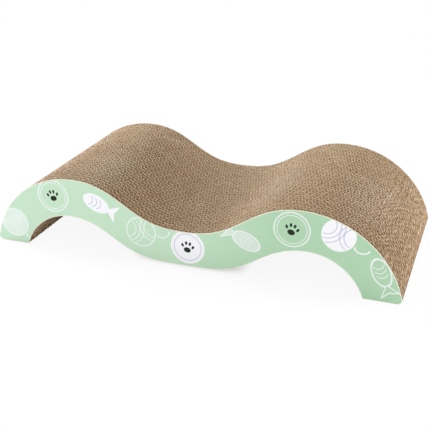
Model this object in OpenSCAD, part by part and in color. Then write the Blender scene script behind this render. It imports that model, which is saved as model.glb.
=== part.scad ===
// Cardboard cat scratcher: a wave with two humps and a saddle, on two feet.
// Upright strips of double-wall corrugated board stand side by side, and their cut flutes
// are the scratching face. A printed panel of the same outline closes each side.
// X runs along the wave, Y across it and Z up. The origin is on the floor, under the middle.

/* [Wave] */
// Length from end to end, at the widest point of the feet
length = 500; // [450:5:550]
// Height of the top of each hump above the floor
hump_h = 93.5; // [88:0.5:110]
// Distance from the top of each hump to the nearer end
hump_run = 111.5; // [106:0.5:120]
// Height of the resting surface in the middle of the saddle
saddle_h = 47.5; // [40:0.5:60]
// How broad the hollow of the saddle is: a higher number makes it flatter
saddle_breadth = 2.1; // [1.5:0.1:3.5]
// How broad the inner shoulder of each hump is: a higher number makes it flatter
hump_breadth = 1.8; // [1.5:0.1:3.5]

/* [Underside] */
// Length of each foot along the floor, from its inner edge to the wave's end
foot_l = 42; // [34:1:48]
// Rounding of the outer edge of each foot, where it meets the floor
foot_r = 5; // [2:0.5:8]
// Height of the top of each arch above the floor
arch_h = 46; // [38:1:52]
// Distance from the top of each arch to the nearer end
arch_run = 106; // [101:0.5:112]
// Gap between the floor and the middle of the underside
belly_gap = 5; // [2:0.5:10]
// How broad the belly between the arches is: a higher number makes it flatter
belly_breadth = 3; // [1.5:0.1:3.5]
// How broad the inner side of each arch is: a higher number makes it flatter
arch_breadth = 1.6; // [1.5:0.1:3.5]

/* [Boards] */
// Thickness of one strip of double-wall corrugated board
strip_t = 5.8; // [4:0.1:7.5]
// Number of strips side by side
strip_count = 38; // [30:1:44]
// Thickness of each printed side panel
panel_t = 2; // [1:0.1:3]

/* [Fineness] */
// Straight pieces in each curved quarter of the outline
curve_steps = 12; // [8:1:16]

/* [Hidden] */
half_l = length / 2;
hump_x = half_l - hump_run;
arch_x = half_l - arch_run;
foot_x = half_l - foot_l;
width = strip_count * strip_t + 2 * panel_t;

// The end of the wave is one arc: level at the hump's top and tangent to the foot's rounding.
end_run = hump_run - foot_r;
end_r = end_run ^ 2 / (2 * (hump_h - 2 * foot_r)) + hump_h / 2;
end_z = hump_h - end_r;
end_angle = atan2(foot_r - end_z, end_run);

// Straight pieces in the rounding of a foot's edge, below its widest point
corner_steps = ceil(curve_steps / 3);

// The outer side of each arch is one arc from the arch's top down to the foot's inner edge.
arch_r = ((foot_x - arch_x) ^ 2 + arch_h ^ 2) / (2 * arch_h);
arch_z = arch_h - arch_r;
arch_angle = atan2(-arch_z, foot_x - arch_x);

STRIPS = [for (i = [1 : strip_count]) str("strip_", i < 10 ? "0" : "", i)];

// Rises from 0 to 1 as t does, and is level at both ends: flatter for longer at an end
// that has a higher number
function swell(t, low, high) = t ^ low / (t ^ low + (1 - t) ^ high);

// Height of the upper edge from the middle to a hump's top, and of the lower edge from the
// middle to an arch's top
function saddle_z(x) = saddle_h + (hump_h - saddle_h) * swell(x / hump_x, saddle_breadth, hump_breadth);
function belly_z(x) = belly_gap + (arch_h - belly_gap) * swell(x / arch_x, belly_breadth, arch_breadth);

// Points along an arc, from one angle to another
function arc(x, z, r, from, to, steps) = [
    for (i = [0 : steps]) let (a = from + (to - from) * i / steps)
        [x + r * cos(a), z + r * sin(a)]
];

// The right half of the outline, from the middle of the saddle round to the middle of the belly
right_half = concat(
    [for (i = [0 : curve_steps - 1]) let (x = hump_x * i / curve_steps) [x, saddle_z(x)]],
    arc(hump_x, end_z, end_r, 90, end_angle, curve_steps),
    [[half_l, foot_r]],
    arc(half_l - foot_r, foot_r, foot_r, -90 / corner_steps, -90, corner_steps - 1),
    arc(arch_x, arch_z, arch_r, arch_angle, 90, curve_steps),
    [for (i = [curve_steps - 1 : -1 : 0]) let (x = arch_x * i / curve_steps) [x, belly_z(x)]]
);
left_half = [for (i = [len(right_half) - 2 : -1 : 1]) [-right_half[i][0], right_half[i][1]]];

// One die-cut board with the wave's outline, its front face at the given place across
module wave_board(front_y, thickness) {
    translate([0, front_y + thickness, 0])
        rotate([90, 0, 0])
            linear_extrude(thickness)
                polygon(concat(right_half, left_half));
}

module strip(number) {
    color([0.69, 0.57, 0.44])
        wave_board(-width / 2 + panel_t + (number - 1) * strip_t, strip_t);
}

module front_panel() {
    color([0.73, 0.87, 0.74])
        wave_board(-width / 2, panel_t);
}

module rear_panel() {
    color([0.73, 0.87, 0.74])
        wave_board(width / 2 - panel_t, panel_t);
}

front_panel();
for (i = [1 : strip_count])
    strip(i);
rear_panel();
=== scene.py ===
"""Cardboard cat scratcher: a wave of upright corrugated strips between two printed panels."""

import math
import random

import bmesh
import bpy
import numpy as np
from mathutils import Euler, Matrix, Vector, noise


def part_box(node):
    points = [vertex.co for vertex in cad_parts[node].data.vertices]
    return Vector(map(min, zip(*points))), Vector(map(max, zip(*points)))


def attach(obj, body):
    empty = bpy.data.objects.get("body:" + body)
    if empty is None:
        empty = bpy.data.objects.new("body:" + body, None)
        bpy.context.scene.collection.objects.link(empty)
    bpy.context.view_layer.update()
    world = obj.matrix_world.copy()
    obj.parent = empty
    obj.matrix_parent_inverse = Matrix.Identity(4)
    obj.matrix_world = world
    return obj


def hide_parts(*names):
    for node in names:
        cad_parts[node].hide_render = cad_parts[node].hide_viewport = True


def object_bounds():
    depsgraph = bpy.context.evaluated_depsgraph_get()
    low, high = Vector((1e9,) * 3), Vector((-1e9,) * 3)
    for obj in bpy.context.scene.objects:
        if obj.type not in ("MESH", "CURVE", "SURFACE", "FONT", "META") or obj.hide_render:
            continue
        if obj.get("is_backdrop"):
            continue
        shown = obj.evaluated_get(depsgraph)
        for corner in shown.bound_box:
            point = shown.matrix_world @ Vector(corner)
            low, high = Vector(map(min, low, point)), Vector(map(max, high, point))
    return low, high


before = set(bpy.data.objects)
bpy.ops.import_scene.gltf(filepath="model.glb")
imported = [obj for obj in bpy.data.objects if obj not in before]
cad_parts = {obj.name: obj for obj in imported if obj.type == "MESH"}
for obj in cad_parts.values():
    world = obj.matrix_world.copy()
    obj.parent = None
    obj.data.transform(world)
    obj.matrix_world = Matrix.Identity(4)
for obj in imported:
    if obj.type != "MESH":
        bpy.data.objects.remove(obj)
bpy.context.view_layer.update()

# The camera stands in front and to the right of the middle, above the humps, and looks down
# and to the left. Its place and lens were found from the wave's outline in the photograph.
camera = bpy.data.cameras.new("camera")
camera.sensor_width = 36.0
camera.lens = 67.14
camera.clip_start = 0.05
camera.clip_end = 20.0
camera_stand = bpy.data.objects.new("camera", camera)
camera_stand.location = (0.3255, -0.8625, 0.4392)
camera_stand.rotation_euler = Euler([math.radians(a) for a in (65.6387, 0.8820, 20.4992)])
bpy.context.scene.collection.objects.link(camera_stand)
bpy.context.scene.camera = camera_stand
bpy.context.scene.view_settings.view_transform = "Standard"


# The strips are double-wall corrugated board: three flat liners with a coarse and a fine
# fluted sheet between them, all of brown kraft paper. Each is die-cut to the wave's outline
# with its flutes upright and glued to the next, so the open ends of the flutes face up.
MM = 0.001
STRIPS = sorted(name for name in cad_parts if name.startswith("strip_"))
LINER, MIDDLE_LINER = 0.34 * MM, 0.24 * MM
MEDIUM = 0.5 * MM
COARSE_PITCH, FINE_PITCH = 7.6 * MM, 6.4 * MM
COARSE_SHARE = 0.6
# In pitches: how far the flutes move on from one strip to the next, and how much at random
COARSE_SHIFT, FINE_SHIFT, SHIFT_SCATTER = -0.27, 0.0, 0.06
# How far a flute strays from its even pitch, in radians, over what length along the wave, and
# with what power of the wear that grows
STRAY, STRAY_LENGTH, STRAY_WEAR = 0.3, 30 * MM, 1.5
FLANK_STEEPNESS = 1.5
FLUTE_STEPS = 10
LINER_STEP = 2.0 * MM
# Each sheet has three rows of faces: a narrow band at either cut and the rest between them
ROWS = 3
CUT_BAND = 0.8 * MM
TEAR, RAGGED = 0.25 * MM, 0.075 * MM
BEND, BEND_LENGTH = 0.3 * MM, 5.0 * MM
COARSE_CRUSH, FINE_CRUSH = 0.22 * MM, 0.13 * MM
LEAN_REACH = 0.1 * MM
SLOPE_REACH = 1.5 * MM
END_WEAR, END_WEAR_FROM, END_WEAR_TO = 2.6, 145 * MM, 235 * MM
MERGE_DISTANCE, STRAIGHT_ANGLE = 1e-6, 0.002
# Places in the noise that bends the sheets, far enough apart that they don't bend alike: from
# one glue seam to the next, and for tears, for fluted sheets and for how their flutes stray
SEAM_GAP = 10.3
TEAR_LAYER = 7.0
LOOSE_SHEETS = 500, 900
STRAY_LAYERS = 0, 100
draw = random.Random(41)


def cut_edges(node):
    """The wave's upper and lower cut edge, as points along X, and all its outline in order,
    from the flat front side of a CAD board."""
    board = bmesh.new()
    board.from_mesh(node.data)
    bmesh.ops.remove_doubles(board, verts=board.verts, dist=MERGE_DISTANCE)
    bmesh.ops.dissolve_limit(
        board, angle_limit=STRAIGHT_ANGLE, verts=board.verts, edges=board.edges
    )
    side = min(board.faces, key=lambda face: face.calc_center_median().y)
    points = [(v.co.x, v.co.z) for v in side.verts]
    board.free()
    first = points.index(min(points))
    points = points[first:] + points[:first]
    last = points.index(max(points))
    there, back = points[: last + 1], (points[last:] + points[:1])[::-1]
    lower, upper = sorted((there, back), key=lambda chain: sum(z for _, z in chain) / len(chain))
    return np.array(upper), np.array(lower), points


upper_edge, lower_edge, outline = cut_edges(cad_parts["front_panel"])
half_length = float(upper_edge[:, 0].max())
# How far each point of the upper edge is from the left end, along the edge
walked = np.hypot(*np.diff(upper_edge, axis=0).T).cumsum()
walked = np.insert(walked, 0, 0.0)


def top_of(x):
    return np.interp(x, upper_edge[:, 0], upper_edge[:, 1])


def underside_of(x):
    return np.interp(x, lower_edge[:, 0], lower_edge[:, 1])


def steepness(edge, x):
    """How many times longer a cut edge is than the stretch of X under it."""
    rise = edge(x + SLOPE_REACH) - edge(x - SLOPE_REACH)
    return np.hypot(1, rise / (2 * SLOPE_REACH))


def wear_at(x):
    """How much more than usual the cut has frayed: the steep ends tear along the flutes."""
    return 1 + END_WEAR * np.interp(abs(x), (END_WEAR_FROM, END_WEAR_TO), (0, 1))


def stand_sheet(mesh, step, thickness, place_across, seam, crush=0.0):
    """Stands one sheet of paper in the mesh, cut above and below to the wave, and thickens it.
    At the cuts the sheet is bent and torn a little, and sheets glued at one seam bend alike.
    The knife crushes the cut edge thicker where a flute crosses from liner to liner."""
    depth = mesh.verts.layers.float.get("cut") or mesh.verts.layers.float.new("cut")
    count = round(walked[-1] / step)
    made = bmesh.ops.create_grid(mesh, x_segments=count, y_segments=ROWS, size=1.0)
    walk = np.array([(v.co.x + 1) / 2 for v in made["verts"]]) * walked[-1]
    along = np.interp(walk, walked, upper_edge[:, 0])
    lows, highs = underside_of(along), top_of(along)
    even_row = (highs - lows) / ROWS
    lower_bands = lows + np.minimum(CUT_BAND * steepness(underside_of, along), even_row)
    upper_bands = highs - np.minimum(CUT_BAND * steepness(top_of, along), even_row)
    columns = (walk / BEND_LENGTH, along, lows, lower_bands, upper_bands, highs)
    for v, bends, x, *heights in zip(made["verts"], *columns):
        row = round((v.co.y + 1) / 2 * ROWS)
        y = place_across(x)
        z = heights[row]
        if row in (0, ROWS):
            v[depth] = 1.0
            worn = noise.noise((bends, seam, TEAR_LAYER + row))
            torn = TEAR * wear_at(x) * (draw.random() ** 2 + max(worn, 0))
            z += torn if row == 0 else -torn
            bent = BEND * noise.noise((bends, seam, row))
            y += wear_at(x) * (bent + RAGGED * draw.uniform(-1, 1))
        v.co = (x, y, z)
    mesh.normal_update()
    faces = list(dict.fromkeys(face for v in made["verts"] for face in v.link_faces))
    behind = bmesh.ops.solidify(mesh, geom=faces, thickness=thickness)["geom"]
    behind = {v for v in behind if isinstance(v, bmesh.types.BMVert)} - set(made["verts"])
    for side, verts in ((-crush, made["verts"]), (crush, behind)):
        for v in verts:
            if v[depth] > 0.5:
                rise = place_across(v.co.x + LEAN_REACH) - place_across(v.co.x - LEAN_REACH)
                lean = math.atan2(rise, 2 * LEAN_REACH)
                v.co.x -= side * abs(math.sin(lean)) * math.sin(lean)
                v.co.y += side * abs(math.sin(lean)) * math.cos(lean)


def trim(mesh, front, back):
    """Brings back what a bend pushed out of the wave's outline, or past the sheets' own room."""
    places = np.array([v.co for v in mesh.verts])
    places[:, 0] = places[:, 0].clip(-half_length, half_length)
    places[:, 1] = places[:, 1].clip(front, back)
    places[:, 2] = places[:, 2].clip(underside_of(places[:, 0]), top_of(places[:, 0]))
    for v, place in zip(mesh.verts, places):
        v.co = place


def flute(front, height, pitch, phase):
    """The place across the board of a fluted sheet, wavy along X between two liners."""
    reach = (height - MEDIUM) / 2
    steepened = reach / math.tanh(FLANK_STEEPNESS)
    layer = draw.uniform(*STRAY_LAYERS)

    def place_across(x):
        stray = STRAY * wear_at(x) ** STRAY_WEAR * noise.noise((x / STRAY_LENGTH, layer, 0))
        turn = math.tau * x / pitch + phase + stray
        return front + reach + steepened * math.tanh(FLANK_STEEPNESS * math.sin(turn))

    return place_across


def flat(front):
    """The place across the board of a liner: the same all along X."""
    return lambda x: front


def new_piece(name, mesh, node, slot, *materials):
    """Turns a finished bmesh into a piece that stands for a CAD node."""
    bmesh.ops.recalc_face_normals(mesh, faces=mesh.faces)
    data = bpy.data.meshes.new(name)
    mesh.to_mesh(data)
    mesh.free()
    for material in materials:
        data.materials.append(material)
    piece = bpy.data.objects.new(name, data)
    bpy.context.scene.collection.objects.link(piece)
    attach(piece, "root")
    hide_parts(node)


class Value:
    """A socket of a material: an expression on it adds the Math nodes that work it out."""

    def __init__(self, socket):
        self.socket = socket

    def feed(self, socket):
        self.socket.id_data.links.new(self.socket, socket)

    def node(self, kind, settings=None, sockets=None, output=0):
        """Adds a node, sets it up, fills or links its sockets, and gives one of its outputs."""
        return add_node(self.socket.id_data, kind, settings, sockets, output)

    def math(self, operation, *others, clamp=False):
        sockets = dict(enumerate((self, *others)))
        return self.node("ShaderNodeMath", {"operation": operation, "use_clamp": clamp}, sockets)

    def __add__(self, other):
        return self.math("ADD", other)

    def __radd__(self, other):
        return self.math("ADD", other)

    def __sub__(self, other):
        return self.math("SUBTRACT", other)

    def __rsub__(self, other):
        return (self * -1).math("ADD", other)

    def __mul__(self, other):
        return self.math("MULTIPLY", other)

    def __rmul__(self, other):
        return self.math("MULTIPLY", other)

    def least(self, *others):
        found = self
        for other in others:
            found = found.math("MINIMUM", other)
        return found

    def most(self, *others):
        found = self
        for other in others:
            found = found.math("MAXIMUM", other)
        return found

    def size(self):
        return self.math("ABSOLUTE")

    def clamped(self):
        return self.math("ADD", 0.0, clamp=True)

    def rising(self, start, end):
        """0 up to the start, then evenly up to 1 at the end and past it. It falls from 1 to 0
        where the end is the lower one."""
        return ((self - start) * (1 / (end - start))).clamped()

    def mixed(self, low, high):
        """A colour between two, by this value."""
        settings = {"data_type": "RGBA", "clamp_factor": True}
        return self.node("ShaderNodeMix", settings, {0: self, 6: low, 7: high}, 2)

    def axis(self, name):
        """One coordinate of a vector."""
        return self.node("ShaderNodeSeparateXYZ", None, {0: self}, "XYZ".index(name))

    def length(self):
        """How long a vector is."""
        return self.node("ShaderNodeVectorMath", {"operation": "LENGTH"}, {0: self}, 1)


def add_node(tree, kind, settings=None, sockets=None, output=0):
    made = tree.nodes.new(kind)
    for name, setting in (settings or {}).items():
        setattr(made, name, setting)
    for key, value in (sockets or {}).items():
        if isinstance(value, Value):
            value.feed(made.inputs[key])
        else:
            made.inputs[key].default_value = value
    return Value(made.outputs[output])


def new_finish(name):
    """A new material, its shader and the Object coordinates on it."""
    material = bpy.data.materials.new(name)
    material.use_nodes = True
    tree = material.node_tree
    place = add_node(tree, "ShaderNodeTexCoord", output=3)
    return material, tree.nodes["Principled BSDF"], place


def noise_at(place, per_metre, detail=2.0, roughness=0.5):
    """Fractal noise from 0 to 1 on a vector, with this many features to a metre."""
    sockets = {"Vector": place, "Scale": per_metre, "Detail": detail, "Roughness": roughness}
    return place.node("ShaderNodeTexNoise", None, sockets)


def stretched(place, scale):
    return place.node("ShaderNodeVectorMath", {"operation": "MULTIPLY"}, {0: place, 1: scale})


# Marks on the face: X and Y of the middle and half the length and width in mm, and the turn in
# degrees. Scuffs are small and rough; the broad, faint ones are a painted sheen where light
# glances off the crests and flanks.
SCUFFS = [(-4, 44, 11, 2.2, -8), (211, 17, 1.8, 46, -4), (-92, 88, 14, 2.5, 12)]
PAINTED_SHEENS = [(-118, -60, 40, 100, 0), (198, -24, 40, 100, 0)]
HALF_PAINTED_SHEEN = (82, -20, 40, 90, 0)
SHEEN_SHARE = 0.25
# Painted shade: on the inner slope of the left hump the walls and cut edges are painted darker,
# most of all in front, so its flutes look deeper: the slope's middle, how far from it that ends
# and is in full, and the same across
PAINTED_SHADE_MIDDLE, PAINTED_SHADE_ALONG, PAINTED_SHADE_ACROSS = -85 * MM, (70 * MM, 20 * MM), (92.9 * MM, 21.4 * MM)
PAINTED_SHADE_SHARE, PAINTED_SHADE_CUT_SHARE = 0.5, 0.3
# How far from the middle of the wave the paper starts to fray and is frayed in full
FRAYED = 165 * MM, 248.3 * MM
FRAYED_SHARE, RUDDY_SHARE = 0.55, 0.35
# From which noise on a patch or a scuff shows, and where it is full, and the same for the cut
PALE_PATCH, DARK_PATCH, RUDDY_PATCH = (0.58, 0.723), (0.42, 0.277), (0.45, 0.7)
SCUFFED_FUZZ = 0.094, 0.719
NEAR_CUT = 0.159, 0.614
# How many of each to a metre, and how much each changes the tone, as do the strip's own tint and a
# painted light that makes the paper lighter towards the rear
BLOTCHES, FUZZ, FIBRES, PATCHES, BROAD_PATCHES = 40.0, 260.0, 900.0, 330.0, 150.0
BLOTCH_SHARE, FUZZ_SHARE, FIBRE_SHARE, TINT_SHARE, PAINTED_REAR_LIGHT = 0.3, 0.9, 0.45, 0.1, 0.9
FIBRE_SHAPE = (1.0, 1.0, 0.35)
STRIP_THICKNESS = 5.8 * MM
ENDLESS = 1e4
# Painted shade: the flute walls' colours, and the darker walls and cuts on the left hump's inner
# slope, stand for the shade deep in the flutes
SHADED_WALL_DARK, SHADED_WALL_LIGHT = (0.10, 0.030, 0.003, 1), (0.24, 0.090, 0.015, 1)
CUT_DARK, CUT_LIGHT = (0.35, 0.218, 0.102, 1), (0.71, 0.553, 0.372, 1)
SHADED_DEEP_WALL, SHADED_DEEP_CUT = (0.06, 0.018, 0.002, 1), (0.38, 0.24, 0.12, 1)
FRAYED_LIGHT, FRAYED_DARK = (0.84, 0.69, 0.53, 1), (0.38, 0.19, 0.085, 1)
RUDDY_CUT = (0.52, 0.30, 0.17, 1)
# Pale cut colours: a painted sheen where light glances off, and scuffs
SHEEN_CUT, SCUFFED_CUT = (0.79, 0.675, 0.525, 1), (0.80, 0.67, 0.52, 1)


def mark(place, x, y, long, wide, turn):
    """From 1 in the middle of a mark on the face to 0 at its rim."""
    sockets = {
        "Vector": place,
        "Location": (x * MM, y * MM, 0),
        "Rotation": (0, 0, math.radians(turn)),
        "Scale": (long * MM, wide * MM, ENDLESS),
    }
    counted = place.node("ShaderNodeMapping", {"vector_type": "TEXTURE"}, sockets)
    return counted.length().rising(1, 1 / 6)


def kraft_paper():
    """Brown kraft: paler and greyer where it is cut. The walls of the flutes are painted a darker,
    more orange brown as the shade deep in them, darker still on the left hump's inner slope; the
    paper is painted lighter towards the rear and with a pale sheen on the crests, as light falls
    there.
    """
    material, shader, place = new_finish("kraft_paper")
    along, across = place.axis("X"), place.axis("Y")
    cut = place.node("ShaderNodeAttribute", {"attribute_name": "cut"}, output=2)

    strip = (across * (1 / STRIP_THICKNESS)).math("FLOOR")
    tint = strip.node("ShaderNodeTexWhiteNoise", {"noise_dimensions": "1D"}, {"W": strip})
    blotch = noise_at(place, BLOTCHES)
    fuzz = noise_at(place, FUZZ, 1.0)
    fibre = noise_at(stretched(place, FIBRE_SHAPE), FIBRES, 3.0, 0.6)
    tone = (blotch - 0.5) * BLOTCH_SHARE + (fuzz - 0.5) * FUZZ_SHARE
    tone = tone + (fibre - 0.5) * FIBRE_SHARE + (tint - 0.5) * TINT_SHARE
    # Painted light: the tone grows lighter towards the rear, as if lit more from behind
    tone = (tone + 0.5 + across * PAINTED_REAR_LIGHT).clamped()

    # Painted shade: darker walls and cut edges on the left hump's inner slope, most of all in
    # front
    painted_shade = (along - PAINTED_SHADE_MIDDLE).size().rising(*PAINTED_SHADE_ALONG)
    painted_shade = painted_shade * across.rising(*PAINTED_SHADE_ACROSS) * PAINTED_SHADE_SHARE
    shaded_wall = painted_shade.mixed(tone.mixed(SHADED_WALL_DARK, SHADED_WALL_LIGHT), SHADED_DEEP_WALL)
    edge = (painted_shade * PAINTED_SHADE_CUT_SHARE).mixed(tone.mixed(CUT_DARK, CUT_LIGHT), SHADED_DEEP_CUT)

    frayed = along.size().rising(*FRAYED)
    patch = noise_at(place, PATCHES, 1.0)
    broad_patch = noise_at(place, BROAD_PATCHES)
    edge = (patch.rising(*PALE_PATCH) * frayed * FRAYED_SHARE).mixed(edge, FRAYED_LIGHT)
    edge = (patch.rising(*DARK_PATCH) * frayed * FRAYED_SHARE).mixed(edge, FRAYED_DARK)
    edge = (broad_patch.rising(*RUDDY_PATCH) * frayed * RUDDY_SHARE).mixed(edge, RUDDY_CUT)

    # Painted sheen: broad pale marks on the left hump's crest and the right hump's flanks, where
    # they catch the light
    painted_sheen = mark(place, *PAINTED_SHEENS[0]).most(mark(place, *PAINTED_SHEENS[1]))
    painted_sheen = painted_sheen.most(mark(place, *HALF_PAINTED_SHEEN) * 0.5)
    edge = (painted_sheen * SHEEN_SHARE).mixed(edge, SHEEN_CUT)
    scuffed = mark(place, *SCUFFS[0]).most(*[mark(place, *scuff) for scuff in SCUFFS[1:]])
    edge = (scuffed * fuzz.rising(*SCUFFED_FUZZ)).mixed(edge, SCUFFED_CUT)

    # Near the cuts the paper's own colour, further in the painted shade of the flute walls
    cut.rising(*NEAR_CUT).mixed(shaded_wall, edge).feed(shader.inputs["Base Color"])
    (0.58 + fibre * 0.2).feed(shader.inputs["Roughness"])
    shader.inputs["Specular IOR Level"].default_value = 0.4
    bumped = {"Height": fibre, "Strength": 0.35, "Distance": 0.12 * MM}
    place.node("ShaderNodeBump", None, bumped).feed(shader.inputs["Normal"])
    return material


kraft = kraft_paper()
STACK_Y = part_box(STRIPS[0])[0].y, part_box(STRIPS[-1])[1].y
for number, node in enumerate(STRIPS, 1):
    low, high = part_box(node)
    room = high.y - low.y - 2 * LINER - MIDDLE_LINER
    coarse, fine = room * COARSE_SHARE, room * (1 - COARSE_SHARE)
    middle = low.y + LINER + coarse
    board = bmesh.new()
    for front, thickness, seam in (
        (low.y, LINER, number),
        (middle, MIDDLE_LINER, number + 0.5),
        (high.y - LINER, LINER, number + 1),
    ):
        stand_sheet(board, LINER_STEP, thickness, flat(front), SEAM_GAP * seam)
    for front, height, pitch, shift, crush in (
        (low.y + LINER, coarse, COARSE_PITCH, COARSE_SHIFT, COARSE_CRUSH),
        (middle + MIDDLE_LINER, fine, FINE_PITCH, FINE_SHIFT, FINE_CRUSH),
    ):
        scatter = draw.uniform(-SHIFT_SCATTER, SHIFT_SCATTER)
        wave = flute(front, height, pitch, math.tau * (number * shift + scatter))
        seam = draw.uniform(*LOOSE_SHEETS)
        stand_sheet(board, pitch / FLUTE_STEPS, MEDIUM, wave, seam, crush)
    trim(board, *STACK_Y)
    new_piece(f"board_{number:02d}", board, node, "kraft_board", kraft)


# The side panels are thin micro-flute board of the wave's outline: a white facing printed
# pale green outside, a fine fluted core and a kraft liner that is glued to the last strip.
# The white of the facing shows at its cut edge and in a thin margin that the print leaves.
FACING = 0.5 * MM
INNER_LINER = 0.3 * MM
PRINT_MARGIN = 0.6 * MM
EDGE_ROUND = 0.12 * MM
MICRO_PITCH, MICRO_STEPS = 3.4 * MM, 6
CORE_SEAM = 3.3
# Only the facing's two flat sides have more corners than this
MANY_CORNERS = 20
# The toys are drawn in units of this size, with soft-edged ink
TOY_UNIT = 1.22 * MM
SOFT_INK = 0.3
OUTLINE, THREAD = 1.2, 0.75
LINE_INK, VEIL_INK = 0.8, 0.45


def seen_from(place, x, z, turn=0.0, wide=1.0, high=1.0):
    """A vector counted from a centre in the XZ plane, turned, in half widths and half heights."""
    sockets = {
        "Vector": place,
        "Location": (x, 0, z),
        "Rotation": (0, math.radians(turn), 0),
        "Scale": (wide, ENDLESS, high),
    }
    return place.node("ShaderNodeMapping", {"vector_type": "TEXTURE"}, sockets)


def oval(place, x, z, wide, high=None, turn=0.0):
    """How far outside an oval's rim a place is, roughly, and below 0 inside it."""
    high = high or wide
    return (seen_from(place, x, z, turn, wide, high).length() - 1.0) * min(wide, high)


def inked(outside):
    """1 where a distance is below 0, with the soft edge of a printed dot."""
    return (0.5 - outside * (1 / SOFT_INK)).clamped()


def stroke(outside, width):
    """How far outside a line along a rim a place is."""
    return outside.size() - width / 2


def paw_mark(spot):
    """A round badge with a ring in it, and on it a pad and four toes."""
    badge = oval(spot, 0, 0, 17.0)
    toes = [
        oval(spot, x, z, 1.2, 1.9, turn)
        for x, z, turn in ((-5.2, 1.2, -24), (-1.9, 4.0, -8), (1.9, 4.0, 8), (5.2, 1.2, 24))
    ]
    pad = oval(spot, 0, -2.8, 3.5, 2.7)
    inner_ring = stroke(oval(spot, 0, 0, 13.6), 0.7)
    return badge, inner_ring, pad.least(*toes)


def wool_ball(spot):
    """A ball of wool: turns of thread in two directions and a loose end."""
    ball = oval(spot, 0, 0, 15.5)
    turns = [stroke(oval(spot, -11.0, 9.0, reach), THREAD) for reach in (9.0, 13.0, 17.0)]
    turns += [stroke(oval(spot, 14.0, -2.0, reach), THREAD) for reach in (9.5, 13.5)]
    inside = turns[0].least(*turns[1:]).most(ball + 1.2)
    loose_end = stroke(oval(spot, 21.0, -9.0, 7.0, 5.5), 1.1).most(oval(spot, 20.0, -16.0, 9.0))
    return ball.least(loose_end), inside, None


def toy_fish(spot):
    """A plain cloth fish: an oval body with rows of scales, and a forked tail."""
    body = oval(spot, -4.0, 0, 14.5, 8.6)
    x, z = spot.axis("X"), spot.axis("Z")
    tail = (z.size() - (x - 7.5) * 0.8).most(x - 16.5 - z.size() * 0.35)
    rows = [
        stroke(oval(spot, row_x, 0, 5.6), THREAD).most(row_x + 2.6 - x)
        for row_x in (-13.5, -9.0, -4.5)
    ]
    return body.least(tail), rows[0].least(*rows[1:]), None


# The green fades from left to right, partly as the print's own and partly as painted light that
# falls off towards the right
GREEN_LEFT, GREEN_RIGHT = (0.513, 0.708, 0.515, 1), (0.390, 0.602, 0.395, 1)
GREEN_AND_PAINTED_LIGHT_FADE = -4.7 * MM, 112.9 * MM
PALE_MOTTLE, MOTTLE_SHARE = (0.80, 0.88, 0.80, 1), 0.10
WHITE_INK = (0.88, 0.87, 0.89, 1)
LILAC_INK = (0.50, 0.50, 0.66, 1)
BLACK_INK = (0.004, 0.012, 0.005, 1)
CREAM_DARK, CREAM_LIGHT = (0.66, 0.70, 0.56, 1), (0.85, 0.87, 0.75, 1)
MOTTLES, SPECKS = 260.0, 700.0
# Each toy, with its middle in mm, its turn in degrees and how it is printed
TOYS = [
    (wool_ball, -224, 27, 10, "veil"),
    (paw_mark, -166, 70, -12, "line"),
    (toy_fish, -104, 66, 24, "white"),
    (wool_ball, -52, 40, -30, "line"),
    (paw_mark, 6, 29, 8, "white"),
    (toy_fish, 72, 50, 204, "veil"),
    (paw_mark, 128, 70, 14, "line"),
    (wool_ball, 179, 71, 0, "white"),
    (toy_fish, 228, 30, 66, "line"),
]


def printed_facing():
    """The print: pale green, lighter at the left, partly the print's own and partly painted light,
    with cat toys in white, a white veil or line.
    """
    material, shader, place = new_finish("green_print")
    mottle = noise_at(place, MOTTLES, 3.0)
    white, lilac, black = [], [], []
    for toy, x, z, turn, style in TOYS:
        spot = seen_from(place, x * MM, z * MM, turn, TOY_UNIT, TOY_UNIT)
        shape, lines, marks = toy(spot)
        if style == "white":
            white.append(inked(shape))
            lilac.append(inked(lines))
        else:
            white.append(inked(stroke(shape + OUTLINE / 2, OUTLINE).least(lines)) * LINE_INK)
        if style == "veil":
            white.append(inked(shape) * VEIL_INK)
        if marks:
            black.append(inked(marks))
    # Partly painted light: the green is lighter at the left
    colour = place.axis("X").rising(*GREEN_AND_PAINTED_LIGHT_FADE).mixed(GREEN_LEFT, GREEN_RIGHT)
    colour = (mottle * MOTTLE_SHARE).mixed(colour, PALE_MOTTLE)
    for masks, ink in ((white, WHITE_INK), (lilac, LILAC_INK), (black, BLACK_INK)):
        colour = masks[0].most(*masks[1:]).mixed(colour, ink)
    colour.feed(shader.inputs["Base Color"])
    (0.5 + mottle * 0.12).feed(shader.inputs["Roughness"])
    shader.inputs["Specular IOR Level"].default_value = 0.3
    bumped = {"Height": mottle, "Strength": 0.15, "Distance": 0.1 * MM}
    place.node("ShaderNodeBump", None, bumped).feed(shader.inputs["Normal"])
    return material


def white_facing():
    """The bare facing, at its cut edge and in the margin."""
    material, shader, place = new_finish("white_facing")
    speck = noise_at(place, SPECKS, 3.0)
    speck.mixed(CREAM_DARK, CREAM_LIGHT).feed(shader.inputs["Base Color"])
    (0.6 + speck * 0.2).feed(shader.inputs["Roughness"])
    return material


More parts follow.
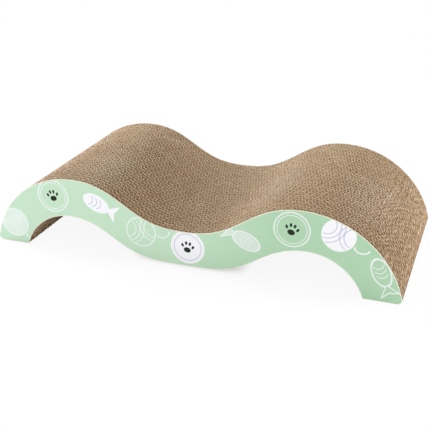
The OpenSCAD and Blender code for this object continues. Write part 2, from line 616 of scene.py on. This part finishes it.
def facing_board(mesh, front_y, back_y):
    """Adds the facing from its outer side to its glued side, with a rounded edge and a margin."""
    corners = [mesh.verts.new((x, front_y, z)) for x, z in outline]
    face = mesh.faces.new(corners)
    made = bmesh.ops.extrude_face_region(mesh, geom=[face])["geom"]
    moved = [v for v in made if isinstance(v, bmesh.types.BMVert)]
    bmesh.ops.translate(mesh, verts=moved, vec=(0, back_y - front_y, 0))
    ring = set(corners)
    bmesh.ops.bevel(
        mesh,
        geom=[e for e in mesh.edges if ring.issuperset(e.verts)],
        offset=EDGE_ROUND,
        offset_type="OFFSET",
        affect="EDGES",
        segments=2,
        profile=0.5,
        material=-1,
    )
    sides = [f for f in mesh.faces if len(f.verts) > MANY_CORNERS]
    outer = min(sides, key=lambda f: abs(f.calc_center_median().y - front_y))
    bmesh.ops.inset_region(mesh, faces=[outer], thickness=PRINT_MARGIN, use_even_offset=True)
    for f in mesh.faces:
        f.material_index = 1
    outer.material_index = 0


green_print, bare_facing = printed_facing(), white_facing()
for node, out, glued_seam in (
    ("front_panel", -1, SEAM_GAP),
    ("rear_panel", 1, SEAM_GAP * (len(STRIPS) + 1)),
):
    low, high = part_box(node)
    outer_y, inner_y = (low.y, high.y) if out < 0 else (high.y, low.y)
    panel = bmesh.new()
    panel.verts.layers.float.new("cut")
    facing_board(panel, outer_y, outer_y - out * FACING)
    faced = set(panel.faces)
    core_y = min(outer_y - out * FACING, inner_y + out * INNER_LINER)
    core = high.y - low.y - FACING - INNER_LINER
    wave = flute(core_y, core, MICRO_PITCH, draw.uniform(0, math.tau))
    stand_sheet(panel, MICRO_PITCH / MICRO_STEPS, MEDIUM, wave, CORE_SEAM)
    liner_y = min(inner_y, inner_y + out * INNER_LINER)
    stand_sheet(panel, LINER_STEP, INNER_LINER, flat(liner_y), glued_seam)
    for f in panel.faces:
        if f not in faced:
            f.material_index = 2
    trim(panel, low.y, high.y)
    new_piece(f"{node}_board", panel, node, "printed_board", green_print, bare_facing, kraft)


# The stage is a plain white floor under a white studio sky. What the camera sees of both is
# pure white, and the floor keeps a faint shadow of the wave. The white is left out under the
# belly, where it would shine up through the open flutes.
FLOOR_HALF, FLOOR_DROP = 6.0, 0.2 * MM
FLOOR_PAINT = (0.9, 0.9, 0.9, 1)
WHITE_BELOW, WHITER_PER_METRE = 0.91, 0.06
# How far from the middle the white is whole again, and within what distance it is all left out
BELLY_ALONG, BELLY_ACROSS = (72 * MM, 32 * MM), (107 * MM, 90.3 * MM)
SKY_LIGHT = 0.78
SEEN_RAYS = "Is Camera Ray", "Is Glossy Ray", "Is Transmission Ray"
WAVE_MIDDLE = Vector((0, 0, 50 * MM))


def sees_stage(tree):
    """1 for the rays that carry a picture of the stage to the camera."""
    outputs = add_node(tree, "ShaderNodeLightPath").socket.node.outputs
    camera_ray, glossy_ray, clear_ray = [Value(outputs[name]) for name in SEEN_RAYS]
    return (camera_ray + glossy_ray + clear_ray).clamped()


def white_floor():
    """White to the camera, with a faint shadow near the wave and no white under the belly."""
    material = bpy.data.materials.new("white_floor")
    material.use_nodes = True
    tree = material.node_tree
    tree.nodes.remove(tree.nodes["Principled BSDF"])
    matt = add_node(tree, "ShaderNodeBsdfDiffuse", None, {"Color": FLOOR_PAINT})
    glow = add_node(tree, "ShaderNodeEmission", None, {"Strength": 1.0})
    place = add_node(tree, "ShaderNodeTexCoord", output=3)
    along, across = place.axis("X").size(), place.axis("Y").size()
    under = along.rising(*BELLY_ALONG) * across.rising(*BELLY_ACROSS)
    white = (WHITE_BELOW + place.length() * WHITER_PER_METRE).clamped()
    share = sees_stage(tree) * white * (1 - under)
    both = add_node(tree, "ShaderNodeMixShader", None, {0: share, 1: matt, 2: glow})
    both.feed(tree.nodes["Material Output"].inputs["Surface"])
    return material


floor_mesh = bmesh.new()
bmesh.ops.create_grid(floor_mesh, x_segments=1, y_segments=1, size=FLOOR_HALF)
floor_data = bpy.data.meshes.new("floor")
floor_mesh.to_mesh(floor_data)
floor_mesh.free()
floor_data.materials.append(white_floor())
floor = bpy.data.objects.new("floor", floor_data)
floor.location.z = -FLOOR_DROP
bpy.context.scene.collection.objects.link(floor)
floor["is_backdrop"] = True

world = bpy.data.worlds.new("studio_sky")
world.use_nodes = True
bpy.context.scene.world = world
sky = world.node_tree
white_light = {"Color": (1, 1, 1, 1)}
seen_sky = add_node(sky, "ShaderNodeBackground", None, white_light | {"Strength": 1.0})
lit_sky = add_node(sky, "ShaderNodeBackground", None, white_light | {"Strength": SKY_LIGHT})
share = sees_stage(sky)
mixed_sky = add_node(sky, "ShaderNodeMixShader", None, {0: share, 1: lit_sky, 2: seen_sky})
mixed_sky.feed(sky.nodes["World Output"].inputs["Surface"])


def soft_lamp(name, place, size, watts, tint=(1, 1, 1)):
    """A square studio soft box at a place, facing the middle of the wave."""
    lamp = bpy.data.lights.new(name, "AREA")
    lamp.size = size
    lamp.energy = watts
    lamp.color = tint
    stand = bpy.data.objects.new(name, lamp)
    stand.location = place
    stand.rotation_euler = (WAVE_MIDDLE - Vector(place)).to_track_quat("-Z", "Y").to_euler()
    stand.visible_camera = False
    bpy.context.scene.collection.objects.link(stand)


soft_lamp("key", (-1.6, 0.27, 0.65), 0.6, 36.0, (0.955, 1.0, 1.1))
soft_lamp("right", (0.95, 0.15, 0.42), 0.3, 4.6)
soft_lamp("front", (0.25, -1.6, 0.25), 0.5, 3.3)

low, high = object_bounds()
